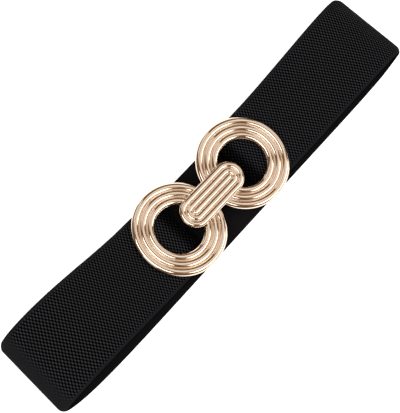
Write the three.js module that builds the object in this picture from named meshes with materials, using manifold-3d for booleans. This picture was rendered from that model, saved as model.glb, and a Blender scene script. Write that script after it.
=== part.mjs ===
// Elastic stretch belt, fastened, lying on its back run, with a two-ring clasp on the front run.
// Millimetres. +X runs along the belt, +Y across the band, +Z up. The origin is in the middle of
// the footprint, on the surface that the belt lies on.
import * as THREE from 'three';
import * as BufferGeometryUtils from 'three/addons/utils/BufferGeometryUtils.js';
import Module from 'manifold-3d';

// The elastic webbing
const bandWidth = 50.8;            // two inch elastic
const bandThickness = 1.6;
const hemDrawIn = 0.8;             // the sewn hems hold the band this much narrower at the clasp
const leftReach = 151.7;           // from the clasp's middle to the fold on the left
const rightReach = 158;            // and on the right
const leftSlant = 1.4;             // the near end of the fold lies this much further out
const rightSlant = 1.9;
const foldCorner = 3;              // each end of a fold is drawn in by this
const foldCornerFrom = 0.84;       // from this share of the half width to the edge
const foldSpread = 2.6;            // the band is this much wider at its folds
const leftCrest = 24;              // height of the front run where it stands highest, at mid thickness
const rightCrest = 24;
const farEdgeRise = 0.16;          // share by which the far edge stands taller and the near edge lower
const leftFoldShift = 2.3;         // the folds lie this much towards the far side
const rightFoldShift = 1.8;
const leftBackSway = 2.7;          // the back run lies this much towards the near side
const rightBackSway = 0.9;
const hemLength = 24;              // the end turned under, from the bar to its cut edge
const hemRise = 8;                 // length over which the hem closes up against the band
const drawInFrom = 0.75;           // shares of the reach between which the band draws in
const drawInTo = 0.35;
const layerGap = 0.3;              // between layers and parts that touch

// The clasp's rings
const ringRadius = 28.9;
const ringHoleRadius = 14.95;
const ringSpacing = 58.4;          // between the rings' centres
const ringThickness = 3.4;         // back face to the crests of the ridges
const ringRidges = 3;
const ridgeDepth = 1.1;
const ringFacets = 60;
const ridgeSteps = 6;              // facets over a ridge
const claspHeight = 9.8;           // back face of the clasp over the surface, between the rings
const halfTilt = THREE.MathUtils.degToRad(3);  // each half of the clasp rises outward by this

// The bars that the band's ends are sewn round
const barRadius = 1.3;
const lugWidth = 5;
const lugThickness = 2.4;
const lugClearance = 0.5;          // beside the band's edge
const lugFoot = 1.0;               // metal under the bar
const lugRoot = 0.4;               // the lugs reach this far into the ring
const barFacets = 16;
const barSeat = 1.4;               // depth of each bar end in its lug
const barFit = 0.15;               // round the bar in its seat

// The tab that links the rings, cast with the right ring, and the hook under it
const tabLength = 50;
const tabWidth = 19.4;
const tabEdgeThickness = 1.5;
const tabRidgeDepth = 0.9;
const tabRidges = 5;               // counted across the tab, the middle one included
const tabTurns = 10;               // facets round each end
const tabMiddleFlat = 0.5;         // half width of the flat on the middle ridge
const tabRootInset = 1;            // of the metal under the tab, from the tab's edge and the ring's
const tabClearance = 0.4;          // over the left ring
const hookThickness = 2.2;
const hookWidth = 10;
const hookReach = 9;               // under the left ring
const hookClearance = 0.45;

// The front run's course beyond the clasp, as shares of the reach and of the crest's height
const leftCourse = [
  { reach: 0.44, height: 0.545 },
  { reach: 0.53, height: 0.69 },
  { reach: 0.63, height: 0.86 },
  { reach: 0.74, height: 0.985 },
  { reach: 0.84, height: 0.975 },
  { reach: 0.925, height: 0.82 },
  { reach: 0.98, height: 0.585 },
  { reach: 1.0, height: 0.38 },
  { reach: 0.985, height: 0.19 },
  { reach: 0.945, height: 0.06 },
];
const rightCourse = [
  { reach: 0.43, height: 0.525 },
  { reach: 0.52, height: 0.645 },
  { reach: 0.62, height: 0.79 },
  { reach: 0.73, height: 0.935 },
  { reach: 0.835, height: 1.0 },
  { reach: 0.92, height: 0.93 },
  { reach: 0.977, height: 0.725 },
  { reach: 1.0, height: 0.475 },
  { reach: 0.98, height: 0.23 },
  { reach: 0.935, height: 0.07 },
];
const floorReach = 0.89;           // share of the reach where the fold has met the surface
const foldReach = 0.85;            // share of the reach where the fold's closer sections start
const foldTop = 0.7;               // share of the crest's height where the fold turns to the back run

const courseStep = 5.5;            // spacing of sections on the front run
const foldStep = 3.2;              // and round a fold
const courseSamples = 600;         // points the course is picked from
const backSteps = 12;
const wrapSteps = 9;
const hemSteps = 2;
const riseSteps = 4;
const straightSteps = 3;
const leanFade = 30;               // past the clasp, the band's own height comes to set its lean

const wasm = await Module();
wasm.setup();

// Solid helpers

function signedVolume(geometry) {
  const at = geometry.getAttribute('position');
  const index = geometry.getIndex().array;
  const [a, b, c] = [new THREE.Vector3(), new THREE.Vector3(), new THREE.Vector3()];
  let sum = 0;
  for (let i = 0; i < index.length; i += 3) {
    a.fromBufferAttribute(at, index[i]);
    b.fromBufferAttribute(at, index[i + 1]);
    c.fromBufferAttribute(at, index[i + 2]);
    sum += a.dot(b.cross(c)) / 6;
  }
  return sum;
}

function closedBody(geometry) {
  const bare = geometry.clone();
  bare.deleteAttribute('normal');
  bare.deleteAttribute('uv');
  const merged = BufferGeometryUtils.mergeVertices(bare, 1e-4);
  if (signedVolume(merged) < 0) merged.getIndex().array.reverse();
  return merged;
}

function toSolid(geometry) {
  const body = closedBody(geometry);
  return new wasm.Manifold(new wasm.Mesh({
    numProp: 3,
    vertProperties: new Float32Array(body.getAttribute('position').array),
    triVerts: new Uint32Array(body.getIndex().array),
  }));
}

function toGeometry(solid) {
  const mesh = solid.getMesh();
  const geometry = new THREE.BufferGeometry();
  geometry.setAttribute('position', new THREE.BufferAttribute(mesh.vertProperties, 3));
  geometry.setIndex(new THREE.BufferAttribute(mesh.triVerts, 1));
  return geometry;
}

function skinBody(rows) {
  // closed rows of points joined to a skin, with the first and the last row capped
  const positions = rows.flat().flatMap((p) => [p.x, p.y, p.z]);
  const columns = rows[0].length;
  const index = [];
  for (let r = 0; r < rows.length - 1; r += 1) {
    for (let c = 0; c < columns; c += 1) {
      const side = (c + 1) % columns;
      const [a, b] = [r * columns + c, r * columns + side];
      index.push(a, b, b + columns, a, b + columns, a + columns);
    }
  }
  const lastRow = (rows.length - 1) * columns;
  for (let c = 1; c < columns - 1; c += 1) {
    index.push(c + 1, c, 0);
    index.push(lastRow, lastRow + c, lastRow + c + 1);
  }
  const geometry = new THREE.BufferGeometry();
  geometry.setAttribute('position', new THREE.Float32BufferAttribute(positions, 3));
  geometry.setIndex(index);
  return closedBody(geometry);
}

// Where the clasp's two halves lie: outward is +x in a half's own frame, its back face is z = 0

function halfFrame(side) {
  const turn = new THREE.Matrix4().makeRotationY(-halfTilt);
  const place = new THREE.Matrix4().makeTranslation(0, 0, claspHeight);
  const mirror = new THREE.Matrix4().makeScale(side, 1, 1);
  return mirror.multiply(place).multiply(turn);
}

const bandTop = -layerGap;                                   // the band passes under a ring's back
const bandMiddle = bandTop - bandThickness / 2;
const barHeight = bandTop - bandThickness - layerGap - barRadius;
const wrapRadius = barRadius + layerGap + bandThickness / 2; // mid thickness of the band round a bar
const barPlace = ringSpacing / 2;
const hemHeight = bandMiddle - bandThickness - layerGap;
const underRing = ringRadius + 1;                            // the band's straight stretch past its bar

// The lean that the far edge's rise gives the front run at the clasp
const claspMiddle = claspHeight + barPlace * Math.tan(halfTilt) + bandMiddle;
const leanSlope = farEdgeRise * (claspMiddle - bandThickness / 2) / (bandWidth / 2);
const leanAngle = Math.atan(leanSlope);

// The band's course in the XZ plane, from the left hem's cut edge to the right one's

function endCourse(side, reach, crest, course) {
  // hem, wrap round the bar, straight under the ring, then the front run, the fold and the floor
  const frame = halfFrame(1);
  const inHalf = (x, z) => new THREE.Vector3(x, 0, z).applyMatrix4(frame);
  const points = [];
  for (let i = 0; i <= hemSteps; i += 1) {
    points.push(inHalf(barPlace + THREE.MathUtils.lerp(hemLength, hemRise, i / hemSteps), hemHeight));
  }
  const wrapFoot = barHeight - wrapRadius;
  for (let i = 1; i < riseSteps; i += 1) {
    const height = THREE.MathUtils.lerp(hemHeight, wrapFoot, THREE.MathUtils.smoothstep(i / riseSteps, 0, 1));
    points.push(inHalf(barPlace + hemRise * (1 - i / riseSteps), height));
  }
  for (let i = 0; i <= wrapSteps; i += 1) {
    const angle = -Math.PI / 2 - Math.PI * i / wrapSteps;
    const x = barPlace + wrapRadius * Math.cos(angle);
    points.push(inHalf(x, barHeight + wrapRadius * Math.sin(angle)));
  }
  for (let i = 1; i <= straightSteps; i += 1) {
    points.push(inHalf(barPlace + underRing * i / straightSteps, bandMiddle));
  }
  const straightEnd = points[points.length - 1];
  const floor = bandThickness / 2;
  const knots = [points[points.length - 2], straightEnd];
  for (const row of course) {
    knots.push(new THREE.Vector3(reach * row.reach, 0, floor + (crest - floor) * row.height));
  }
  knots.push(new THREE.Vector3(reach * floorReach, 0, floor));
  const curve = new THREE.CatmullRomCurve3(knots, false, 'centripetal');
  const samples = curve.getPoints(courseSamples);
  let last = straightEnd;
  let onRun = false;
  for (const sample of samples) {
    onRun = onRun || sample.x > straightEnd.x;
    if (!onRun) continue;
    const step = sample.x > reach * foldReach ? foldStep : courseStep;
    const nearFloor = sample.distanceTo(knots[knots.length - 1]) < step / 2;
    if (sample.distanceTo(last) < step || nearFloor) continue;
    points.push(new THREE.Vector3(sample.x, 0, Math.max(sample.z, floor)));
    last = sample;
  }
  const claspEdge = straightEnd.x;
  return points.map((p) => {
    const free = THREE.MathUtils.clamp((p.x - claspEdge) / leanFade, 0, 1);
    const lift = THREE.MathUtils.lerp(claspMiddle, p.z, free) - floor;
    const turned = p.x < reach * foldReach ? 0 : 1 - THREE.MathUtils.smoothstep(p.z, floor, crest * foldTop);
    return { x: side * p.x, z: p.z, lift: farEdgeRise * lift, turned };
  });
}

function bandCourse() {
  const left = endCourse(-1, leftReach, leftCrest, leftCourse);
  const right = endCourse(1, rightReach, rightCrest, rightCourse);
  const floor = bandThickness / 2;
  const back = [];
  for (let i = 0; i <= backSteps; i += 1) {
    const x = THREE.MathUtils.lerp(-leftReach, rightReach, i / backSteps) * floorReach;
    back.push({ x, z: floor, lift: 0, turned: 1 });
  }
  return [...left, ...back, ...right.reverse()];
}

// The band: each section is moved aside, narrowed at the clasp and raised at its far edge

function endOf(x) {
  return x < 0
    ? { side: -1, reach: leftReach, slant: leftSlant, shift: leftFoldShift }
    : { side: 1, reach: rightReach, slant: rightSlant, shift: rightFoldShift };
}

function asideAt(p, end, out) {
  const sway = THREE.MathUtils.mapLinear(p.x, -leftReach, rightReach, leftBackSway, rightBackSway);
  return THREE.MathUtils.lerp(end.shift * out, end.shift * out ** 4 - sway * (1 - out ** 2), p.turned);
}

function widthAt(p, end, out) {
  const share = (drawInFrom - Math.abs(p.x) / end.reach) / (drawInFrom - drawInTo);
  const drawnIn = THREE.MathUtils.clamp(share, 0, 1) * (1 - p.turned);
  return bandWidth - hemDrawIn * drawnIn + foldSpread * out ** 1.5;
}

function onBand(p, share) {
  // at mid thickness, from the near edge (share -1) to the far one (share 1)
  const end = endOf(p.x);
  const out = (p.x / end.reach) ** 2;
  const corner = Math.max(0, (Math.abs(share) - foldCornerFrom) / (1 - foldCornerFrom));
  const drawnBack = end.slant * share * out ** 2 + foldCorner * corner ** 2 * out ** 3;
  const y = asideAt(p, end, out) + share * widthAt(p, end, out) / 2;
  return new THREE.Vector3(p.x - end.side * drawnBack, y, p.z + share * p.lift);
}

function buildBand() {
  const course = bandCourse();
  const rows = course.map((p, i) => {
    const before = course[Math.max(i - 1, 0)];
    const after = course[Math.min(i + 1, course.length - 1)];
    const outer = [];
    const inner = [];
    for (const share of [-1, -foldCornerFrom, 0, foldCornerFrom, 1]) {
      const along = onBand(after, share).sub(onBand(before, share));
      const normal = new THREE.Vector3(-along.z, 0, along.x).normalize().multiplyScalar(bandThickness / 2);
      const middle = onBand(p, share);
      outer.push(middle.clone().add(normal));
      inner.push(middle.clone().sub(normal));
    }
    return [...outer, ...inner.reverse()];
  });
  return skinBody(rows);
}

// Rings with half round ridges, cast flat on the back

function ridgedProfile(from, to, ridges, depth, top, steps) {
  // equal ridges side by side, each an arc from groove to groove
  const points = [];
  const pitch = (to - from) / ridges;
  const arcRadius = (pitch ** 2 / 4 + depth ** 2) / (2 * depth);
  for (let ridge = 0; ridge < ridges; ridge += 1) {
    for (let i = ridge === 0 ? 0 : 1; i <= steps; i += 1) {
      const fromCrest = pitch * (i / steps - 0.5);
      const drop = arcRadius - Math.sqrt(arcRadius ** 2 - fromCrest ** 2);
      points.push([from + pitch * (ridge + i / steps), top - drop]);
    }
  }
  return points;
}

function buildRing() {
  const ridges = ridgedProfile(ringHoleRadius, ringRadius, ringRidges, ridgeDepth, ringThickness, ridgeSteps);
  const profile = [[ringHoleRadius, 0], ...ridges, [ringRadius, 0]];
  const turned = profile.map(([r, z]) => new THREE.Vector2(r, z));
  turned.push(turned[0].clone());
  const lathe = new THREE.LatheGeometry(turned, ringFacets);
  lathe.rotateX(Math.PI / 2);
  lathe.translate(barPlace, 0, 0);
  return toSolid(lathe);
}

function block(x0, x1, y0, y1, z0, z1) {
  const box = new THREE.BoxGeometry(x1 - x0, y1 - y0, z1 - z0);
  box.translate((x0 + x1) / 2, (y0 + y1) / 2, (z0 + z1) / 2);
  return toSolid(box);
}

const lugInner = (bandWidth - hemDrawIn) / 2 + lugClearance;

function withLugs(ring) {
  let solid = ring;
  for (const end of [-1, 1]) {
    const [near, far] = [end * lugInner, end * (lugInner + lugThickness)].sort((a, b) => a - b);
    const foot = barHeight - barRadius - lugFoot;
    const lug = block(barPlace - lugWidth / 2, barPlace + lugWidth / 2, near, far, foot, lugRoot);
    solid = solid.add(lug);
  }
  const seatRadius = barRadius + barFit;
  const seat = new THREE.CylinderGeometry(seatRadius, seatRadius, 2 * (lugInner + barSeat), barFacets);
  seat.translate(barPlace, 0, barHeight);
  return solid.subtract(toSolid(seat));
}

function buildBar() {
  const bar = new THREE.CylinderGeometry(barRadius, barRadius, 2 * (lugInner + barSeat - barFit), barFacets);
  bar.translate(barPlace, 0, barHeight);
  return closedBody(bar);
}

// The tab: nested ridges follow its outline in towards the middle one

function stadium(halfStraight, radius, z) {
  const loop = [];
  for (const end of [1, -1]) {
    for (let i = 0; i <= tabTurns; i += 1) {
      const angle = -Math.PI / 2 + Math.PI * i / tabTurns;
      const x = end * (halfStraight + radius * Math.cos(angle));
      loop.push(new THREE.Vector3(x, end * radius * Math.sin(angle), z));
    }
  }
  return loop;
}

function tabFloor() {
  // clear of the left ring where its rim lies highest under the tab
  const rimTop = new THREE.Vector3(barPlace - ringHoleRadius, 0, ringThickness).applyMatrix4(halfFrame(1));
  return rimTop.z + tabClearance;
}

function buildTab() {
  const radius = tabWidth / 2;
  const halfStraight = tabLength / 2 - radius;
  const floor = tabFloor();
  const top = tabEdgeThickness + tabRidgeDepth;
  const across = ridgedProfile(0, tabWidth, tabRidges, tabRidgeDepth, top, ridgeSteps);
  const rows = [stadium(halfStraight, radius, floor)];
  for (const [inward, height] of across) {
    if (inward < radius - tabMiddleFlat) {
      rows.push(stadium(halfStraight, radius - inward, floor + height));
    }
  }
  rows.push(stadium(halfStraight, tabMiddleFlat, floor + top));
  return toSolid(skinBody(rows));
}

function tabRoot() {
  // the metal under the tab's right half, which makes it one casting with the right ring
  const radius = tabWidth / 2 - tabRootInset;
  const near = barPlace - ringRadius + tabRootInset;
  const roundedFrom = tabLength / 2 - tabWidth / 2;
  const shape = new THREE.Shape();
  shape.moveTo(near, -radius);
  shape.lineTo(roundedFrom, -radius);
  shape.absarc(roundedFrom, 0, radius, -Math.PI / 2, Math.PI / 2, false);
  shape.lineTo(near, radius);
  shape.closePath();
  const foot = claspHeight + ringThickness / 2;
  const root = new THREE.ExtrudeGeometry(shape, {
    depth: tabFloor() + tabEdgeThickness / 2 - foot,
    bevelEnabled: false,
    curveSegments: tabTurns,
  });
  root.translate(0, 0, foot);
  return toSolid(root);
}

function tabHook() {
  const holeAtHook = Math.sqrt(ringHoleRadius ** 2 - (hookWidth / 2) ** 2);
  const rim = new THREE.Vector3(barPlace - holeAtHook, 0, 0).applyMatrix4(halfFrame(-1));
  const postInner = rim.x - hookClearance;
  const footTop = claspHeight - hookClearance;
  const half = hookWidth / 2;
  const post = block(postInner - hookThickness, postInner, -half, half,
    footTop - hookThickness, tabFloor() + tabEdgeThickness / 2);
  const foot = block(postInner - hookThickness, postInner + hookReach, -half, half,
    footTop - hookThickness, footTop);
  return post.add(foot);
}

// Materials

const elastic = new THREE.MeshStandardMaterial({ color: 0x17161b, roughness: 0.85, metalness: 0 });
const gold = new THREE.MeshStandardMaterial({ color: 0xe2bf98, roughness: 0.22, metalness: 1 });
const steel = new THREE.MeshStandardMaterial({ color: 0xc9b79a, roughness: 0.3, metalness: 1 });

function piece(name, geometry, material) {
  const mesh = new THREE.Mesh(geometry, material);
  mesh.name = name;
  return mesh;
}

// The belt

const belt = new THREE.Group();
belt.add(piece('elastic_band', buildBand(), elastic));

const clasp = new THREE.Group();
const leaning = new THREE.Group();
clasp.position.z = claspMiddle;
clasp.rotation.x = leanAngle;
leaning.position.z = -claspMiddle;
clasp.add(leaning);
belt.add(clasp);

const plainHalf = withLugs(buildRing());
const leftRing = closedBody(toGeometry(plainHalf).applyMatrix4(halfFrame(-1)));
leaning.add(piece('ring_left', leftRing, gold));

const rightRing = toSolid(toGeometry(plainHalf).applyMatrix4(halfFrame(1)));
const rightCasting = rightRing.add(tabRoot()).add(buildTab()).add(tabHook());
leaning.add(piece('ring_right_with_tab', toGeometry(rightCasting), gold));

leaning.add(piece('bar_left', closedBody(buildBar().applyMatrix4(halfFrame(-1))), steel));
leaning.add(piece('bar_right', closedBody(buildBar().applyMatrix4(halfFrame(1))), steel));

// The origin goes to the middle of the footprint
const footprint = new THREE.Box3().setFromObject(belt, true);
belt.position.set(
  -(footprint.min.x + footprint.max.x) / 2,
  -(footprint.min.y + footprint.max.y) / 2,
  -footprint.min.z,
);

export default belt;
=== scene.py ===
# Elastic stretch belt with a two-ring clasp: its fine surfaces, finishes, light and camera.
# Sizes are millimetres in the belt's own frame, as in the solids, and go to metres in to_metres().
import math

import bmesh
import bpy
from mathutils import Matrix, Vector


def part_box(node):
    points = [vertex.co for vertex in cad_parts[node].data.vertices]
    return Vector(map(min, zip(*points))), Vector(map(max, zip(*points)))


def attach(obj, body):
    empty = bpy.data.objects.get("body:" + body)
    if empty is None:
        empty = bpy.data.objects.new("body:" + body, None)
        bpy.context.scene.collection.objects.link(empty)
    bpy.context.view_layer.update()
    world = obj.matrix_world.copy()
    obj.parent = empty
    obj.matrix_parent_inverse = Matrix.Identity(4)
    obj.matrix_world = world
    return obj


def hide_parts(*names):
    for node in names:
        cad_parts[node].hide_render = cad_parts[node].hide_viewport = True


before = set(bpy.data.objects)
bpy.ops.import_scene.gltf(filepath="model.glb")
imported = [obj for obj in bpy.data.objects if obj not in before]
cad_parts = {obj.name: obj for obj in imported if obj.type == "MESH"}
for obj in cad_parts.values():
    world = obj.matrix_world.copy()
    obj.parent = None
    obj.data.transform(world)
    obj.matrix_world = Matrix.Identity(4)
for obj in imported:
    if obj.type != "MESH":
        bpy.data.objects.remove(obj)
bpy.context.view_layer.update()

# The webbing
BAND_WIDTH = 50.8        # two inch elastic
BAND_THICKNESS = 1.6
HEM_DRAW_IN = 0.8        # the sewn hems hold the band this much narrower at the clasp
LEFT_REACH = 151.7       # from the clasp's middle to the fold on the left
RIGHT_REACH = 158.0      # and on the right
LEFT_SLANT = 1.4         # the near end of the fold lies this much further out
RIGHT_SLANT = 1.9
FOLD_CORNER = 3.0        # each end of a fold is drawn in by this
FOLD_CORNER_FROM = 0.84  # from this share of the half width to the edge
FOLD_SPREAD = 2.6        # the band is this much wider at its folds
LEFT_CREST = 24.0        # height of the front run where it stands highest, at mid thickness
RIGHT_CREST = 24.0
FAR_EDGE_RISE = 0.16     # share by which the far edge stands taller and the near edge lower
LEFT_FOLD_SHIFT = 2.3    # the folds lie this much towards the far side
RIGHT_FOLD_SHIFT = 1.8
LEFT_BACK_SWAY = 2.7     # the back run lies this much towards the near side
RIGHT_BACK_SWAY = 0.9
HEM_LENGTH = 24.0        # the end turned under, from the bar to its cut edge
HEM_RISE = 8.0           # length over which the hem closes up against the band
DRAW_IN_FROM = 0.75      # shares of the reach between which the band draws in
DRAW_IN_TO = 0.35
LAYER_GAP = 0.3          # between layers and parts that touch
FLOOR_REACH = 0.89       # share of the reach where the fold has met the surface
FOLD_REACH = 0.85        # share of the reach beyond which the band turns through the fold
FOLD_TOP = 0.7           # share of the crest's height where the fold turns to the back run
LEAN_FADE = 30.0         # past the clasp, the band's own height comes to set its lean
EDGE_ROUND = 0.55        # the woven edges are rounded by this much
WEAVE_ALONG = 2.1        # one diamond of the weave, along the band
WEAVE_ACROSS = 3.1       # and across it
SELVEDGE = 1.7           # plain strip along each edge
SELVEDGE_BLEND = 0.7     # the weave begins beside it over this length
EDGE_SHADE = 0.1         # painted shade: the very edge is darkened where its rounding turns from the light
SEAM_FROM_BAR = 15.0     # the row of stitches that holds each hem
SEAM_WIDTH = 0.9
STITCH_PITCH = 3.0
PRESSED_FROM = 15.0      # towards a fold the stretched weave flattens, from here
PRESSED_TO = 6.0         # to here, along the cloth from where the fold turns
TAUT_AND_SHADED_FROM = 11.0         # towards a bar it is drawn tight and flat, and darkened with painted shade from the ring and tab, from here
TAUT_AND_SHADED_TO = 4.0            # to here, along the cloth from where the wrap turns

# The clasp
RING_RADIUS = 28.9
RING_HOLE_RADIUS = 14.95
RING_SPACING = 58.4      # between the rings' centres
RING_THICKNESS = 3.4     # back face to the crests of the ridges
RING_RIDGES = 3
RIDGE_DEPTH = 1.1
RIDGE_MARGIN = 0.25      # between the outer ridges and the rims
RIM_DROP = 0.4           # the rims' walls end this far under the feet of the ridges
PAST_RING = 1.0          # the band runs straight this far past the ring
CLASP_HEIGHT = 9.8       # back face of the clasp over the surface, between the rings
HALF_TILT = math.radians(3)  # each half of the clasp rises outward by this
BAR_RADIUS = 1.3
LUG_WIDTH = 5.0
LUG_THICKNESS = 2.4
LUG_CLEARANCE = 0.5      # beside the band's edge
LUG_FOOT = 1.0           # metal under the bar
LUG_ROOT = 0.4           # the lugs reach this far into the ring
LUG_ROUND = 0.4
TAB_LENGTH = 50.0
TAB_WIDTH = 19.4
TAB_EDGE_THICKNESS = 1.5
TAB_RIM_DROP = 0.25      # its walls end this far under the feet of the ridges
TAB_RIDGE_DEPTH = 0.9
TAB_RIDGES = 5           # counted across the tab, the middle one included
TAB_MARGIN = 0.15        # between the outermost ridge and the rim
TAB_MIDDLE_FLAT = 0.08   # half width of the flat on the middle ridge
TAB_CLEARANCE = 0.4      # over the left ring
TAB_ROOT_INSET = 1.0     # of the metal under the tab, from the tab's edge and the ring's
HOOK_THICKNESS = 2.2
HOOK_WIDTH = 10.0
HOOK_REACH = 9.0         # under the left ring
HOOK_CLEARANCE = 0.45
HOOK_ROUND = 0.35
GROOVE_WIDTH = 0.4       # slot at the foot of the grooves between ridges
GROOVE_DEPTH = 0.45
CAST_ROUND = 0.45        # rounding of the castings' back edges
ROUND_MIDDLE = 0.3       # share of a rounding that is left at its middle

# How finely the shapes are made
ACROSS_STEPS = 28        # closer together towards the edges, where a fold is rounded off
EDGE_STEPS = 6           # round each edge
HEM_STEPS = 8            # along the flat of a hem
RISE_STEPS = 8           # where it closes up against the band
WRAP_STEPS = 18          # half way round the bar
STRAIGHT_STEPS = 12      # under the ring
KNOT_STEPS = 60          # samples from one knot of the course to the next
COURSE_STEP = 1.2        # sections on the front run and its folds are at least this far apart
BACK_STEPS = 100
RIDGE_STEPS = 14         # over a ridge
RING_TURNS = 216         # round a ring
TAB_TURNS = 28           # round each end of the tab
ROOT_TURNS = 24          # round the end of the tab's root

# The patterns of the finishes
LINT_PATCH = 1.1         # patches where the yarn is fuller or thinner
RIB_HEIGHT = 0.08        # of the ribs on the inner face
WEAVE_HEIGHT = 0.22      # of the raised diamonds
POLISH_WAVE = 4.5        # faint waves left by polishing
POLISH_DEPTH = 0.1
HANDLING_PATCH = 11.0    # patches a little duller from handling
DIE_LINE = 0.4           # lines along the wire, coarser than real ones so that they show
DIE_LINE_LENGTH = 16.0
DIE_LINE_DEPTH = 0.03
PAPER_FIBRE = 2.5

# The floor
PAPER_REACH = 8000.0     # from the belt out to each edge of the paper
PAPER_DROP = 0.05        # the paper lies this far under the band

# The camera: its distance in metres, swing towards the left end, nod towards the near edge and
# roll; the photograph's size and the camera's focal length and centre are in its pixels
CAMERA_DISTANCE = 0.7293
CAMERA_SWING = math.radians(19.43)
CAMERA_NOD = math.radians(6.85)
CAMERA_ROLL = math.radians(-46.5)
PHOTO_WIDTH = 400
PHOTO_HEIGHT = 413
FOCAL_PIXELS = 1200
CENTRE_ACROSS = 208.36
CENTRE_DOWN = 202.06
SENSOR = 36.0            # width of the camera's sensor

# The front run's course beyond the clasp, as shares of the reach and of the crest's height
LEFT_COURSE = [
    {"reach": 0.44, "height": 0.545},
    {"reach": 0.53, "height": 0.69},
    {"reach": 0.63, "height": 0.86},
    {"reach": 0.74, "height": 0.985},
    {"reach": 0.84, "height": 0.975},
    {"reach": 0.925, "height": 0.82},
    {"reach": 0.98, "height": 0.585},
    {"reach": 1.0, "height": 0.38},
    {"reach": 0.985, "height": 0.19},
    {"reach": 0.945, "height": 0.06},
]
RIGHT_COURSE = [
    {"reach": 0.43, "height": 0.525},
    {"reach": 0.52, "height": 0.645},
    {"reach": 0.62, "height": 0.79},
    {"reach": 0.73, "height": 0.935},
    {"reach": 0.835, "height": 1.0},
    {"reach": 0.92, "height": 0.93},
    {"reach": 0.977, "height": 0.725},
    {"reach": 1.0, "height": 0.475},
    {"reach": 0.98, "height": 0.23},
    {"reach": 0.935, "height": 0.07},
]

# Worked out from the sizes above
BAND_MIDDLE = -LAYER_GAP - BAND_THICKNESS / 2
BAR_HEIGHT = -LAYER_GAP - BAND_THICKNESS - LAYER_GAP - BAR_RADIUS
WRAP_RADIUS = BAR_RADIUS + LAYER_GAP + BAND_THICKNESS / 2
BAR_PLACE = RING_SPACING / 2
HEM_HEIGHT = BAND_MIDDLE - BAND_THICKNESS - LAYER_GAP
UNDER_RING = RING_RADIUS + PAST_RING
CLASP_MIDDLE = CLASP_HEIGHT + BAR_PLACE * math.tan(HALF_TILT) + BAND_MIDDLE
LEAN_ANGLE = math.atan(FAR_EDGE_RISE * (CLASP_MIDDLE - BAND_THICKNESS / 2) / (BAND_WIDTH / 2))
FLOOR_MIDDLE = BAND_THICKNESS / 2
LUG_INNER = (BAND_WIDTH - HEM_DRAW_IN) / 2 + LUG_CLEARANCE


# Numbers and meshes

def lerp(a, b, share):
    return a + (b - a) * share


def clamped(share):
    return min(max(share, 0.0), 1.0)


def eased(share):
    share = clamped(share)
    return share * share * (3 - 2 * share)


def to_metres(point):
    return point * 0.001


def smooth_piece(name, points, faces, marks=None):
    """An object from points in millimetres; marks holds each face corner's place on the cloth."""
    mesh = bpy.data.meshes.new(name)
    mesh.from_pydata([to_metres(p) for p in points], [], faces)
    for polygon in mesh.polygons:
        polygon.use_smooth = True
    if marks:
        cloth = mesh.uv_layers.new(name="cloth_mm")
        for polygon in mesh.polygons:
            for corner, place in zip(polygon.loop_indices, marks[polygon.index]):
                cloth.data[corner].uv = place
    mesh.update()
    piece = bpy.data.objects.new(name, mesh)
    bpy.context.scene.collection.objects.link(piece)
    return piece


def skin_faces(row_count, columns):
    """The faces of a skin over closed rows of points."""
    faces = []
    for r in range(row_count - 1):
        for c in range(columns):
            d = (c + 1) % columns
            faces.append((r * columns + c, r * columns + d, (r + 1) * columns + d, (r + 1) * columns + c))
    return faces


def end_faces(row_count, columns):
    """The two faces that close such a skin at its first and last row."""
    last = (row_count - 1) * columns
    return [tuple(reversed(range(columns))), tuple(range(last, last + columns))]


# Where the clasp lies

def half_frame(side):
    """One half of the clasp: outward is +x, and its back face is z = 0."""
    mirror = Matrix.Diagonal((side, 1, 1, 1))
    place = Matrix.Translation((0, 0, CLASP_HEIGHT))
    return mirror @ place @ Matrix.Rotation(-HALF_TILT, 4, "Y")


def leaning():
    """The whole clasp leans with the front run, about the band's middle."""
    up = Matrix.Translation((0, 0, CLASP_MIDDLE))
    return up @ Matrix.Rotation(LEAN_ANGLE, 4, "X") @ up.inverted()


# The band's course, seen along the folds

def smooth_through(knots, steps):
    """Points on the centripetal curve through the knots."""
    ends = [2 * knots[0] - knots[1], *knots, 2 * knots[-1] - knots[-2]]
    points = [knots[0]]
    for i in range(len(knots) - 1):
        before, start, end, after = ends[i:i + 4]
        t0 = math.sqrt((start - before).length)
        t1 = math.sqrt((end - start).length)
        t2 = math.sqrt((after - end).length)
        leave = ((start - before) / t0 - (end - before) / (t0 + t1) + (end - start) / t1) * t1
        arrive = ((end - start) / t1 - (after - start) / (t1 + t2) + (after - end) / t2) * t1
        for k in range(1, steps + 1):
            t = k / steps
            bend = (2 * start - 2 * end + leave + arrive) * t ** 3
            points.append(bend + (3 * end - 3 * start - 2 * leave - arrive) * t ** 2 + leave * t + start)
    return points


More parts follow.
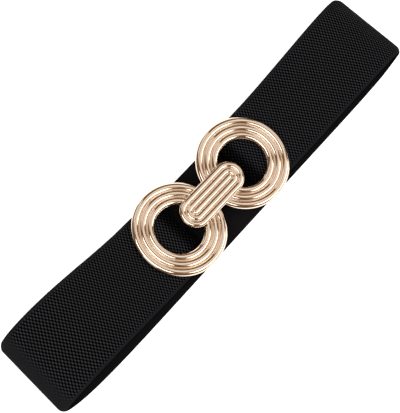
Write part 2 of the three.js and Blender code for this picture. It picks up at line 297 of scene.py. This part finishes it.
def end_course(side, reach, crest, shares):
    """Hem, wrap round the bar, straight under the ring, front run and fold."""
    to_half = half_frame(1)

    def in_half(x, z):
        return to_half @ Vector((x, 0, z))

    points = [
        in_half(BAR_PLACE + lerp(HEM_LENGTH, HEM_RISE, i / HEM_STEPS), HEM_HEIGHT)
        for i in range(HEM_STEPS + 1)]
    wrap_foot = BAR_HEIGHT - WRAP_RADIUS
    for i in range(1, RISE_STEPS):
        height = lerp(HEM_HEIGHT, wrap_foot, eased(i / RISE_STEPS))
        points.append(in_half(BAR_PLACE + HEM_RISE * (1 - i / RISE_STEPS), height))
    for i in range(WRAP_STEPS + 1):
        angle = -math.pi / 2 - math.pi * i / WRAP_STEPS
        x = BAR_PLACE + WRAP_RADIUS * math.cos(angle)
        points.append(in_half(x, BAR_HEIGHT + WRAP_RADIUS * math.sin(angle)))
    for i in range(1, STRAIGHT_STEPS + 1):
        points.append(in_half(BAR_PLACE + UNDER_RING * i / STRAIGHT_STEPS, BAND_MIDDLE))
    straight_end = points[-1]
    knots = [in_half(BAR_PLACE + UNDER_RING * 2 / 3, BAND_MIDDLE), straight_end]
    for row in shares:
        knots.append(Vector((reach * row["reach"], 0, lerp(FLOOR_MIDDLE, crest, row["height"]))))
    knots.append(Vector((reach * FLOOR_REACH, 0, FLOOR_MIDDLE)))
    for sample in smooth_through(knots, KNOT_STEPS):
        if sample.x > straight_end.x and (sample - points[-1]).length > COURSE_STEP:
            points.append(Vector((sample.x, 0, max(sample.z, FLOOR_MIDDLE))))
    course = []
    for p in points:
        free = clamped((p.x - straight_end.x) / LEAN_FADE)
        lift = FAR_EDGE_RISE * (lerp(CLASP_MIDDLE, p.z, free) - FLOOR_MIDDLE)
        height = (p.z - FLOOR_MIDDLE) / (crest * FOLD_TOP - FLOOR_MIDDLE)
        turned = 0 if p.x < reach * FOLD_REACH else 1 - eased(height)
        course.append((side * p.x, p.z, lift, turned))
    return course


def band_course():
    left = end_course(-1, LEFT_REACH, LEFT_CREST, LEFT_COURSE)
    right = end_course(1, RIGHT_REACH, RIGHT_CREST, RIGHT_COURSE)
    back = []
    for i in range(1, BACK_STEPS):
        x = lerp(left[-1][0], right[-1][0], i / BACK_STEPS)
        back.append((x, FLOOR_MIDDLE, 0, 1))
    return [*left, *back, *reversed(right)]


def on_band(station, share):
    """A point at mid thickness; share goes from -1 at the near edge to 1 at the far one."""
    x, z, lift, turned = station
    side, reach, slant, shift = (
        (-1, LEFT_REACH, LEFT_SLANT, LEFT_FOLD_SHIFT) if x < 0
        else (1, RIGHT_REACH, RIGHT_SLANT, RIGHT_FOLD_SHIFT))
    out = (x / reach) ** 2
    sway = lerp(LEFT_BACK_SWAY, RIGHT_BACK_SWAY, (x + LEFT_REACH) / (LEFT_REACH + RIGHT_REACH))
    aside = lerp(shift * out, shift * out ** 4 - sway * (1 - out ** 2), turned)
    drawn_in = clamped((DRAW_IN_FROM - abs(x) / reach) / (DRAW_IN_FROM - DRAW_IN_TO)) * (1 - turned)
    width = BAND_WIDTH - HEM_DRAW_IN * drawn_in + FOLD_SPREAD * out ** 1.5
    corner = max(0.0, (abs(share) - FOLD_CORNER_FROM) / (1 - FOLD_CORNER_FROM))
    drawn_back = slant * share * out ** 2 + FOLD_CORNER * corner ** 2 * out ** 3
    return Vector((x - side * drawn_back, aside + share * width / 2, z + share * lift))


def band_section():
    """(share across, share of half the thickness) round a section; + is the loop's inside."""
    half = BAND_WIDTH / 2
    flat = 1 - EDGE_ROUND / half
    inside = [(flat * math.sin(math.pi * (i / ACROSS_STEPS - 0.5)), 1) for i in range(ACROSS_STEPS + 1)]
    for i in range(1, EDGE_STEPS):
        angle = math.pi / 2 - math.pi * i / EDGE_STEPS
        inside.append((flat + math.cos(angle) * EDGE_ROUND / half, math.sin(angle)))
    return inside + [(-across, -through) for across, through in inside]


def make_band():
    """The webbing as one closed skin, with each corner's place on the cloth in millimetres."""
    course = band_course()
    section = band_section()
    points = []
    along = [0.0]
    for i, station in enumerate(course):
        before = course[max(i - 1, 0)]
        after = course[min(i + 1, len(course) - 1)]
        if i:
            along.append(along[-1] + (on_band(station, 0) - on_band(course[i - 1], 0)).length)
        for share, through in section:
            step = on_band(after, share) - on_band(before, share)
            inward = Vector((-step.z, 0, step.x)).normalized()
            points.append(on_band(station, share) + inward * through * BAND_THICKNESS / 2)
    columns = len(section)
    faces = skin_faces(len(course), columns) + end_faces(len(course), columns)
    across = [share * BAND_WIDTH / 2 for share, _ in section]
    marks = []
    for r in range(len(course) - 1):
        for c in range(columns):
            d = (c + 1) % columns
            marks.append([
                (along[r], across[c]),
                (along[r], across[d]),
                (along[r + 1], across[d]),
                (along[r + 1], across[c]),
            ])
    for cut_edge in (along[0], along[-1]):
        marks.append([(cut_edge, BAND_WIDTH / 2)] * columns)
    band = smooth_piece("webbing_band", points, faces, marks)
    for polygon in band.data.polygons:
        is_inner_face = polygon.index % columns < ACROSS_STEPS and len(polygon.vertices) == 4
        polygon.material_index = 1 if is_inner_face else 0
    return band, along[-1], {"seams": seam_rows(course, along), **turning_rows(course, along)}


def seam_rows(course, along):
    """Where along the cloth the two seams cross it, through each front run and its hem."""
    seam = BAR_PLACE + SEAM_FROM_BAR
    rows = []
    for i in range(len(course) - 1):
        start = abs(course[i][0]) - seam
        end = abs(course[i + 1][0]) - seam
        on_back_run = course[i][3] == 1
        if start * end < 0 and not on_back_run:
            rows.append(lerp(along[i], along[i + 1], start / (start - end)))
    return rows


def turning_rows(course, along):
    """Where along the cloth the folds turn, and where the wraps round the bars do."""
    rows = {"folds": [], "wraps": []}
    for side in (-1, 1):
        out = [side * station[0] for station in course]
        rows["folds"].append(along[out.index(max(out))])
        front = [place for place, station in zip(out, course) if place > 0 and station[3] < 1]
        rows["wraps"].append(along[out.index(min(front))])
    return rows


# The castings

def ridged_profile(start, end, ridges, depth, top):
    """(place, height) over rounded ridges side by side, with a narrow slot between each two."""
    pitch = (end - start) / ridges
    half = (pitch - GROOVE_WIDTH) / 2
    radius = (half ** 2 + depth ** 2) / (2 * depth)
    points = []
    for ridge in range(ridges):
        middle = start + pitch * (ridge + 0.5)
        for i in range(RIDGE_STEPS + 1):
            off = half * (2 * i / RIDGE_STEPS - 1)
            drop = radius - math.sqrt(radius ** 2 - off ** 2)
            points.append((middle + off, top - drop))
        if ridge < ridges - 1:
            points.append((middle + pitch / 2, top - depth - GROOVE_DEPTH))
    return points


def make_ring(name, side):
    """A cast ring, turned from its profile: three ridges, two rims and a flat back."""
    rim_top = RING_THICKNESS - RIDGE_DEPTH - RIM_DROP
    cut = CAST_ROUND * ROUND_MIDDLE
    profile = [
        *ridged_profile(
            RING_HOLE_RADIUS + RIDGE_MARGIN, RING_RADIUS - RIDGE_MARGIN, RING_RIDGES, RIDGE_DEPTH,
            RING_THICKNESS),
        (RING_RADIUS, rim_top),
        (RING_RADIUS, CAST_ROUND),
        (RING_RADIUS - cut, cut),
        (RING_RADIUS - CAST_ROUND, 0),
        (RING_HOLE_RADIUS + CAST_ROUND, 0),
        (RING_HOLE_RADIUS + cut, cut),
        (RING_HOLE_RADIUS, CAST_ROUND),
        (RING_HOLE_RADIUS, rim_top),
    ]
    place = leaning() @ half_frame(side) @ Matrix.Translation((BAR_PLACE, 0, 0))
    points = []
    faces = []
    count = len(profile)
    for k in range(RING_TURNS):
        angle = 2 * math.pi * k / RING_TURNS
        for radius, z in profile:
            points.append(place @ Vector((radius * math.cos(angle), radius * math.sin(angle), z)))
        for c in range(count):
            near = k * count
            far = (k + 1) % RING_TURNS * count
            d = (c + 1) % count
            quad = (near + c, near + d, far + d, far + c)
            faces.append(quad if side < 0 else tuple(reversed(quad)))
    return smooth_piece(name, points, faces)


def stadium(half_straight, radius, z):
    """A closed loop with round ends."""
    loop = []
    for end in (1, -1):
        for i in range(TAB_TURNS + 1):
            angle = -math.pi / 2 + math.pi * i / TAB_TURNS
            x = end * (half_straight + radius * math.cos(angle))
            loop.append(Vector((x, end * radius * math.sin(angle), z)))
    return loop


def tab_floor():
    """Height of the tab's underside, over the inner rim of the left ring."""
    rim_top = half_frame(1) @ Vector((BAR_PLACE - RING_HOLE_RADIUS, 0, RING_THICKNESS))
    return rim_top.z + TAB_CLEARANCE


def make_tab():
    """The linking tab: nested ridges follow its outline in towards the middle one."""
    radius = TAB_WIDTH / 2
    half_straight = TAB_LENGTH / 2 - radius
    floor = tab_floor()
    top = TAB_EDGE_THICKNESS + TAB_RIDGE_DEPTH
    cut = CAST_ROUND * ROUND_MIDDLE
    place = leaning()
    rows = [
        stadium(half_straight, radius - CAST_ROUND, floor),
        stadium(half_straight, radius - cut, floor + cut),
        stadium(half_straight, radius, floor + CAST_ROUND),
        stadium(half_straight, radius, floor + TAB_EDGE_THICKNESS - TAB_RIM_DROP),
    ]
    ridges = ridged_profile(TAB_MARGIN, TAB_WIDTH - TAB_MARGIN, TAB_RIDGES, TAB_RIDGE_DEPTH, top)
    for inward, height in ridges:
        if inward < radius - TAB_MIDDLE_FLAT:
            rows.append(stadium(half_straight, radius - inward, floor + height))
    rows.append(stadium(half_straight, TAB_MIDDLE_FLAT, floor + top))
    points = [place @ p for row in rows for p in row]
    columns = len(rows[0])
    faces = skin_faces(len(rows), columns) + end_faces(len(rows), columns)
    return smooth_piece("linking_tab", points, faces)


def rounded_block(name, corners, place, rounding):
    """A cast block with rounded edges, between two corners."""
    low, high = corners
    shape = bmesh.new()
    bmesh.ops.create_cube(shape, size=1)
    for vertex in shape.verts:
        spot = Vector([lerp(low[k], high[k], vertex.co[k] + 0.5) for k in range(3)])
        vertex.co = place @ spot
    bmesh.ops.bevel(shape, geom=shape.edges[:], offset=rounding, segments=3, affect="EDGES", profile=0.5)
    bmesh.ops.recalc_face_normals(shape, faces=shape.faces[:])
    shape.verts.index_update()
    points = [vertex.co.copy() for vertex in shape.verts]
    faces = [tuple(vertex.index for vertex in face.verts) for face in shape.faces]
    shape.free()
    return smooth_piece(name, points, faces)


def make_lugs(name, side):
    """The two lugs at the back of a ring, which hold its bar beside the band's edges."""
    foot = BAR_HEIGHT - BAR_RADIUS - LUG_FOOT
    place = leaning() @ half_frame(side)
    lugs = []
    for end, where in ((-1, "near"), (1, "far")):
        reaches = sorted((end * LUG_INNER, end * (LUG_INNER + LUG_THICKNESS)))
        low = (BAR_PLACE - LUG_WIDTH / 2, reaches[0], foot)
        high = (BAR_PLACE + LUG_WIDTH / 2, reaches[1], LUG_ROOT)
        lugs.append(rounded_block(f"{name}_lug_{where}", (low, high), place, LUG_ROUND))
    return lugs


def make_hook():
    """The catch under the tab, which passes through the left ring's hole."""
    hole_at_hook = math.sqrt(RING_HOLE_RADIUS ** 2 - (HOOK_WIDTH / 2) ** 2)
    rim = half_frame(-1) @ Vector((BAR_PLACE - hole_at_hook, 0, 0))
    post_inner = rim.x - HOOK_CLEARANCE
    foot_top = CLASP_HEIGHT - HOOK_CLEARANCE
    half = HOOK_WIDTH / 2
    low = (post_inner - HOOK_THICKNESS, -half, foot_top - HOOK_THICKNESS)
    post = (low, (post_inner, half, tab_floor() + TAB_EDGE_THICKNESS / 2))
    foot = (low, (post_inner + HOOK_REACH, half, foot_top))
    return [
        rounded_block("catch_post", post, leaning(), HOOK_ROUND),
        rounded_block("catch_foot", foot, leaning(), HOOK_ROUND),
    ]


def make_tab_root():
    """The metal that makes the tab one casting with the right ring."""
    radius = TAB_WIDTH / 2 - TAB_ROOT_INSET
    near = BAR_PLACE - RING_RADIUS + TAB_ROOT_INSET
    rounded_from = TAB_LENGTH / 2 - TAB_WIDTH / 2
    outline = [Vector((near, -radius, 0))]
    for i in range(ROOT_TURNS + 1):
        angle = -math.pi / 2 + math.pi * i / ROOT_TURNS
        outline.append(Vector((rounded_from + radius * math.cos(angle), radius * math.sin(angle), 0)))
    outline.append(Vector((near, radius, 0)))
    place = leaning()
    heights = (CLASP_HEIGHT + RING_THICKNESS / 2, tab_floor() + TAB_EDGE_THICKNESS / 2)
    points = [place @ (p + Vector((0, 0, z))) for z in heights for p in outline]
    faces = skin_faces(len(heights), len(outline)) + end_faces(len(heights), len(outline))
    root = smooth_piece("tab_root", points, faces)
    for polygon in root.data.polygons:
        polygon.use_smooth = False
    return root


# Materials

def colour(code):
    """An sRGB hex colour as linear light."""
    channels = [int(code[k:k + 2], 16) / 255 for k in (1, 3, 5)]
    linear = [c / 12.92 if c <= 0.04045 else ((c + 0.055) / 1.055) ** 2.4 for c in channels]
    return (*linear, 1.0)


def add_node(tree, kind, settings=None, links=None):
    """Adds a node; settings are its properties or socket values, links its inputs' sources."""
    node = tree.nodes.new(kind)
    for key, value in (settings or {}).items():
        if isinstance(key, str) and hasattr(node, key):
            setattr(node, key, value)
        else:
            node.inputs[key].default_value = value
    for key, source in (links or {}).items():
        tree.links.new(source, node.inputs[key])
    return node


def new_material(name):
    material = bpy.data.materials.new(name)
    material.use_nodes = True
    material.node_tree.nodes.clear()
    return material, material.node_tree


def finish_material(tree, shader):
    add_node(tree, "ShaderNodeOutputMaterial", links={"Surface": shader.outputs["BSDF"]})


def wave_along(tree, source, period):
    """The cosine of a length, once round in each period."""
    turned = add_node(
        tree, "ShaderNodeMath", {"operation": "MULTIPLY", 1: 2 * math.pi / period}, {0: source})
    return add_node(tree, "ShaderNodeMath", {"operation": "COSINE"}, {0: turned.outputs[0]})


def nearest_row(tree, axes, rows):
    """How far along the cloth the nearest of these rows is."""
    nearest = None
    for row in rows:
        past = add_node(tree, "ShaderNodeMath", {"operation": "SUBTRACT", 1: row}, {0: axes.outputs["X"]})
        away = add_node(tree, "ShaderNodeMath", {"operation": "ABSOLUTE"}, {0: past.outputs[0]})
        if nearest:
            away = add_node(
                tree, "ShaderNodeMath", {"operation": "MINIMUM"},
                {0: nearest.outputs[0], 1: away.outputs[0]})
        nearest = away
    return nearest


def stitch_rows(tree, axes, rows):
    """1 on the stitches of the seams at these places along the cloth, 0 elsewhere."""
    in_row = add_node(
        tree, "ShaderNodeMapRange",
        {"interpolation_type": "SMOOTHSTEP", "From Min": SEAM_WIDTH / 2, "From Max": SEAM_WIDTH / 4},
        {"Value": nearest_row(tree, axes, rows).outputs[0]})
    in_stitch = add_node(
        tree, "ShaderNodeMapRange",
        {"interpolation_type": "SMOOTHSTEP", "From Min": -0.85, "From Max": -0.35},
        {"Value": wave_along(tree, axes.outputs["Y"], STITCH_PITCH).outputs[0]})
    return add_node(
        tree, "ShaderNodeMath", {"operation": "MULTIPLY"},
        {0: in_row.outputs[0], 1: in_stitch.outputs[0]})


def diamonds(tree, axes):
    """The raised diamonds of the weave, 0 between them and 1 on top."""
    lengthwise = wave_along(tree, axes.outputs["X"], WEAVE_ALONG)
    crosswise = wave_along(tree, axes.outputs["Y"], WEAVE_ACROSS)
    lattice = add_node(
        tree, "ShaderNodeMath", {"operation": "MULTIPLY"},
        {0: lengthwise.outputs[0], 1: crosswise.outputs[0]})
    return add_node(
        tree, "ShaderNodeMapRange",
        {"interpolation_type": "SMOOTHSTEP", "From Min": -0.4, "From Max": 0.9},
        {"Value": lattice.outputs[0]})


def weave_pattern(tree, axes, rows):
    """How far the yarns of the face stand out: diamonds, plain ribs beside them, and stitches, with
    painted shade that darkens and flattens them over the very edges and towards the bars.
    """
    from_middle = add_node(tree, "ShaderNodeMath", {"operation": "ABSOLUTE"}, {0: axes.outputs["Y"]})
    inside_selvedges = add_node(
        tree, "ShaderNodeMapRange",
        {"interpolation_type": "SMOOTHSTEP", "From Min": BAND_WIDTH / 2 - SELVEDGE,
         "From Max": BAND_WIDTH / 2 - SELVEDGE - SELVEDGE_BLEND},
        {"Value": from_middle.outputs[0]})
    unpressed = add_node(
        tree, "ShaderNodeMapRange",
        {"interpolation_type": "SMOOTHSTEP", "From Min": PRESSED_TO, "From Max": PRESSED_FROM},
        {"Value": nearest_row(tree, axes, rows["folds"]).outputs[0]})
    woven = add_node(
        tree, "ShaderNodeMath", {"operation": "MULTIPLY"},
        {0: inside_selvedges.outputs[0], 1: unpressed.outputs[0]})
    plain_ribs = add_node(
        tree, "ShaderNodeMapRange", {"From Min": -1.0, "From Max": 1.0, "To Min": 0.26, "To Max": 0.44},
        {"Value": wave_along(tree, axes.outputs["X"], WEAVE_ALONG / 2).outputs[0]})
    cloth_face = add_node(
        tree, "ShaderNodeMix", {"data_type": "FLOAT"},
        {0: woven.outputs[0], 2: plain_ribs.outputs[0], 3: diamonds(tree, axes).outputs[0]})
    # Painted shade: tint and bump fall to nothing over the band's very edge, where its rounding turns
    # away
    lit_off_edge = add_node(
        tree, "ShaderNodeMapRange",
        {"interpolation_type": "SMOOTHSTEP", "From Min": BAND_WIDTH / 2 - EDGE_SHADE,
         "From Max": BAND_WIDTH / 2 - EDGE_ROUND},
        {"Value": from_middle.outputs[0]})
    # Painted shade from the ring and tab towards each bar, where the cloth is also drawn flat: tint and
    # bump fall to a fifth
    slack_and_lit = add_node(
        tree, "ShaderNodeMapRange",
        {"interpolation_type": "SMOOTHSTEP", "From Min": TAUT_AND_SHADED_TO, "From Max": TAUT_AND_SHADED_FROM, "To Min": 0.2},
        {"Value": nearest_row(tree, axes, rows["wraps"]).outputs[0]})
    in_light = add_node(
        tree, "ShaderNodeMath", {"operation": "MULTIPLY"}, {0: lit_off_edge.outputs[0], 1: slack_and_lit.outputs[0]})
    yarns = add_node(
        tree, "ShaderNodeMath", {"operation": "MULTIPLY"},
        {0: cloth_face.outputs[0], 1: in_light.outputs[0]})
    return add_node(
        tree, "ShaderNodeMath", {"operation": "MAXIMUM"},
        {0: yarns.outputs[0], 1: stitch_rows(tree, axes, rows["seams"]).outputs[0]})


def woven_elastic(rows):
    """Woven black elastic: polyester yarn over rubber, dull, with a raised diamond at each crossing."""
    material, tree = new_material("woven_elastic_face")
    cloth = add_node(tree, "ShaderNodeUVMap", {"uv_map": "cloth_mm"})
    axes = add_node(tree, "ShaderNodeSeparateXYZ", links={0: cloth.outputs["UV"]})
    # raised holds the painted shade of the edges and bars as well as the weave's relief
    raised = weave_pattern(tree, axes, rows)
    lint = add_node(
        tree, "ShaderNodeTexNoise", {"Scale": 1 / LINT_PATCH, "Detail": 3.0, "Roughness": 0.6},
        {"Vector": cloth.outputs["UV"]})
    uneven = add_node(
        tree, "ShaderNodeMapRange", {"From Min": 0.3, "From Max": 0.7, "To Min": 0.75, "To Max": 1.0},
        {"Value": lint.outputs["Fac"]})
    yarn_tone_and_shade = add_node(
        tree, "ShaderNodeMath", {"operation": "MULTIPLY"}, {0: raised.outputs[0], 1: uneven.outputs[0]})
    # The tint darkens with that painted shade as well as with the yarns' own pattern and unevenness
    tint = add_node(
        tree, "ShaderNodeMix", {"data_type": "RGBA", 6: colour("#010102"), 7: colour("#3b3c40")},
        {0: yarn_tone_and_shade.outputs[0]})
    yarn_gloss = add_node(
        tree, "ShaderNodeMapRange", {"From Min": 0.25, "To Max": 0.06},
        {"Value": yarn_tone_and_shade.outputs[0]})
    bump = add_node(
        tree, "ShaderNodeBump", {"Strength": 0.9, "Distance": to_metres(WEAVE_HEIGHT)},
        {"Height": raised.outputs[0]})
    shader = add_node(
        tree, "ShaderNodeBsdfPrincipled",
        {"Roughness": 0.62, "IOR": 1.5},
        {"Base Color": tint.outputs[2], "Specular IOR Level": yarn_gloss.outputs[0],
         "Normal": bump.outputs["Normal"]})
    finish_material(tree, shader)
    return material


def plain_elastic_back():
    """The inner face of the same webbing: flat, close cross ribs of black yarn, a little duller."""
    material, tree = new_material("woven_elastic_back")
    cloth = add_node(tree, "ShaderNodeUVMap", {"uv_map": "cloth_mm"})
    axes = add_node(tree, "ShaderNodeSeparateXYZ", links={0: cloth.outputs["UV"]})
    ribs = wave_along(tree, axes.outputs["X"], WEAVE_ALONG / 2)
    lint = add_node(
        tree, "ShaderNodeTexNoise", {"Scale": 1 / LINT_PATCH, "Detail": 3.0},
        {"Vector": cloth.outputs["UV"]})
    tint = add_node(
        tree, "ShaderNodeMix", {"data_type": "RGBA", 6: colour("#0d0d0f"), 7: colour("#1b1a1d")},
        {0: lint.outputs["Fac"]})
    bump = add_node(
        tree, "ShaderNodeBump", {"Strength": 0.5, "Distance": to_metres(RIB_HEIGHT)},
        {"Height": ribs.outputs[0]})
    shader = add_node(
        tree, "ShaderNodeBsdfPrincipled",
        {"Roughness": 0.8, "IOR": 1.5, "Specular IOR Level": 0.06},
        {"Base Color": tint.outputs[2], "Normal": bump.outputs["Normal"]})
    finish_material(tree, shader)
    return material


def plated_rose_gold():
    """Cast zinc, polished and plated pale rose gold: mirror bright, with faint polishing waves."""
    material, tree = new_material("polished_rose_gold_plate")
    place = add_node(tree, "ShaderNodeTexCoord")
    waves = add_node(
        tree, "ShaderNodeTexNoise", {"Scale": 1 / to_metres(POLISH_WAVE), "Detail": 2.0},
        {"Vector": place.outputs["Object"]})
    handling = add_node(
        tree, "ShaderNodeTexNoise",
        {"Scale": 1 / to_metres(HANDLING_PATCH), "Detail": 4.0, "Roughness": 0.65},
        {"Vector": place.outputs["Object"]})
    gloss = add_node(
        tree, "ShaderNodeMapRange", {"From Min": 0.3, "From Max": 0.7, "To Min": 0.06, "To Max": 0.11},
        {"Value": handling.outputs["Fac"]})
    bump = add_node(
        tree, "ShaderNodeBump", {"Strength": 0.02, "Distance": to_metres(POLISH_DEPTH)},
        {"Height": waves.outputs["Fac"]})
    shader = add_node(
        tree, "ShaderNodeBsdfPrincipled",
        {"Base Color": colour("#f1deca"), "Metallic": 1.0},
        {"Roughness": gloss.outputs[0], "Normal": bump.outputs["Normal"]})
    finish_material(tree, shader)
    return material


def drawn_wire():
    """Drawn steel wire, plated in the clasp's colour: the die leaves fine lines along it."""
    material, tree = new_material("drawn_wire_plate")
    place = add_node(tree, "ShaderNodeTexCoord")
    fine = 1 / to_metres(DIE_LINE)
    stretched = add_node(
        tree, "ShaderNodeMapping", {"Scale": (fine, 1 / to_metres(DIE_LINE_LENGTH), fine)},
        {"Vector": place.outputs["Object"]})
    lines = add_node(
        tree, "ShaderNodeTexNoise", {"Scale": 1.0, "Detail": 2.0},
        {"Vector": stretched.outputs["Vector"]})
    gloss = add_node(
        tree, "ShaderNodeMapRange", {"To Min": 0.22, "To Max": 0.38}, {"Value": lines.outputs["Fac"]})
    bump = add_node(
        tree, "ShaderNodeBump", {"Strength": 0.2, "Distance": to_metres(DIE_LINE_DEPTH)},
        {"Height": lines.outputs["Fac"]})
    shader = add_node(
        tree, "ShaderNodeBsdfPrincipled", {"Base Color": colour("#c9ab86"), "Metallic": 1.0},
        {"Roughness": gloss.outputs[0], "Normal": bump.outputs["Normal"]})
    finish_material(tree, shader)
    return material


def matte_paper():
    """The pale sweep that the belt lies on."""
    material, tree = new_material("matte_paper")
    place = add_node(tree, "ShaderNodeTexCoord")
    fibres = add_node(
        tree, "ShaderNodeTexNoise", {"Scale": 1 / to_metres(PAPER_FIBRE), "Detail": 3.0},
        {"Vector": place.outputs["Object"]})
    tint = add_node(
        tree, "ShaderNodeMix", {"data_type": "RGBA", 6: colour("#fbfbfb"), 7: colour("#fefefe")},
        {0: fibres.outputs["Fac"]})
    shader = add_node(
        tree, "ShaderNodeBsdfPrincipled",
        {"Roughness": 0.9, "Emission Color": colour("#ffffff"), "Emission Strength": 0.8},
        {"Base Color": tint.outputs[2]})
    finish_material(tree, shader)
    return material


# The pieces

def seat_on_solids(band, pieces):
    """Moves all pieces so that the fine band lies where the solid one does, and says how far."""
    low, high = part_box("elastic_band")
    spots = [vertex.co for vertex in band.data.vertices]
    shift = Vector((0, 0, 0))
    for k in range(2):
        own = [spot[k] for spot in spots]
        shift[k] = (low[k] + high[k]) / 2 - (min(own) + max(own)) / 2
    for piece in pieces:
        piece.data.transform(Matrix.Translation(shift))
    return shift


def make_floor():
    """The paper that the belt lies on, flat and far wider than the picture."""
    corners = [Vector((x * PAPER_REACH, y * PAPER_REACH, -PAPER_DROP))
               for x, y in ((-1, -1), (1, -1), (1, 1), (-1, 1))]
    floor = smooth_piece("paper_sweep", corners, [(0, 1, 2, 3)])
    floor.data.materials.append(matte_paper())


gold = plated_rose_gold()
wire = drawn_wire()

band, band_length, cloth_rows = make_band()
band.data.materials.append(woven_elastic(cloth_rows))
band.data.materials.append(plain_elastic_back())

left_casting = [make_ring("left_ring_casting", -1), *make_lugs("left_ring", -1)]
right_casting = [
    make_ring("right_ring_casting", 1),
    *make_lugs("right_ring", 1),
    make_tab(),
    make_tab_root(),
    *make_hook(),
]
seating = seat_on_solids(band, [band, *left_casting, *right_casting])

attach(band, "root")
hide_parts("elastic_band")
for casting, node in ((left_casting, "ring_left"), (right_casting, "ring_right_with_tab")):
    for piece in casting:
        piece.data.materials.append(gold)
        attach(piece, "root")
        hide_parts(node)
for node in ("bar_left", "bar_right"):
    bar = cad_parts[node]
    bar.data.materials.clear()
    bar.data.materials.append(wire)
    for polygon in bar.data.polygons:
        polygon.use_smooth = True

make_floor()


# The camera and the light

def make_camera(target):
    """The photograph's view of the belt; back points from the belt to the camera."""
    back = Vector((
        -math.sin(CAMERA_SWING),
        -math.sin(CAMERA_NOD) * math.cos(CAMERA_SWING),
        math.cos(CAMERA_SWING) * math.cos(CAMERA_NOD),
    ))
    right = (Vector((1, 0, 0)) - back * back.x).normalized()
    up = back.cross(right)
    across = right * math.cos(CAMERA_ROLL) + up * math.sin(CAMERA_ROLL)
    upward = up * math.cos(CAMERA_ROLL) - right * math.sin(CAMERA_ROLL)
    turn = Matrix((across, upward, back)).transposed().to_4x4()
    data = bpy.data.cameras.new("photo_camera")
    data.sensor_width = SENSOR
    data.lens = FOCAL_PIXELS * SENSOR / PHOTO_HEIGHT
    data.shift_x = -(CENTRE_ACROSS - PHOTO_WIDTH / 2) / PHOTO_HEIGHT
    data.shift_y = (CENTRE_DOWN - PHOTO_HEIGHT / 2) / PHOTO_HEIGHT
    data.clip_end = 20
    camera = bpy.data.objects.new("photo_camera", data)
    camera.matrix_world = Matrix.Translation(target + back * CAMERA_DISTANCE) @ turn
    bpy.context.scene.collection.objects.link(camera)
    bpy.context.scene.camera = camera


def soft_light(name, azimuth, elevation, distance, size, radiance):
    """A rectangular light that faces the belt, in metres and degrees; radiance is how bright it looks."""
    across = math.cos(math.radians(elevation))
    place = Vector((
        across * math.cos(math.radians(azimuth)),
        across * math.sin(math.radians(azimuth)),
        math.sin(math.radians(elevation)),
    )) * distance
    data = bpy.data.lights.new(name, "AREA")
    data.shape = "RECTANGLE"
    data.size = size[0]
    data.size_y = size[1]
    data.energy = radiance * math.pi * size[0] * size[1]
    lamp = bpy.data.objects.new(name, data)
    lamp.location = place
    lamp.rotation_euler = (-place).to_track_quat("-Z", "Y").to_euler()
    bpy.context.scene.collection.objects.link(lamp)


make_camera(seating)

# A dim warm room, a broad soft light overhead, softboxes low on all four sides with dark corners
# between them, and a bright strip before the left one and the near one, whose reflections draw
# the bright lines along the ridges
room = bpy.data.worlds.new("dim_room")
room.use_nodes = True
room.node_tree.nodes["Background"].inputs["Color"].default_value = colour("#dcb289")
room.node_tree.nodes["Background"].inputs["Strength"].default_value = 0.25
bpy.context.scene.world = room
soft_light("overhead_softbox", 0, 72, 1.5, (1.05, 1.05), 0.77)
soft_light("left_end_strip", 180, 50, 1.5, (1.9, 0.5), 3.0)
soft_light("near_side_strip", 294, 38, 1.5, (1.75, 0.6), 3.0)
soft_light("left_end_softbox", 180, 42, 1.7, (0.9, 1.5), 0.66)
soft_light("near_side_softbox", 275, 38, 1.7, (0.9, 1.5), 0.5)
soft_light("far_side_softbox", 88, 40, 1.7, (0.9, 1.4), 0.66)
soft_light("right_end_softbox", 0, 30, 1.7, (0.9, 1.1), 0.66)
bpy.context.scene.view_settings.view_transform = "Standard"
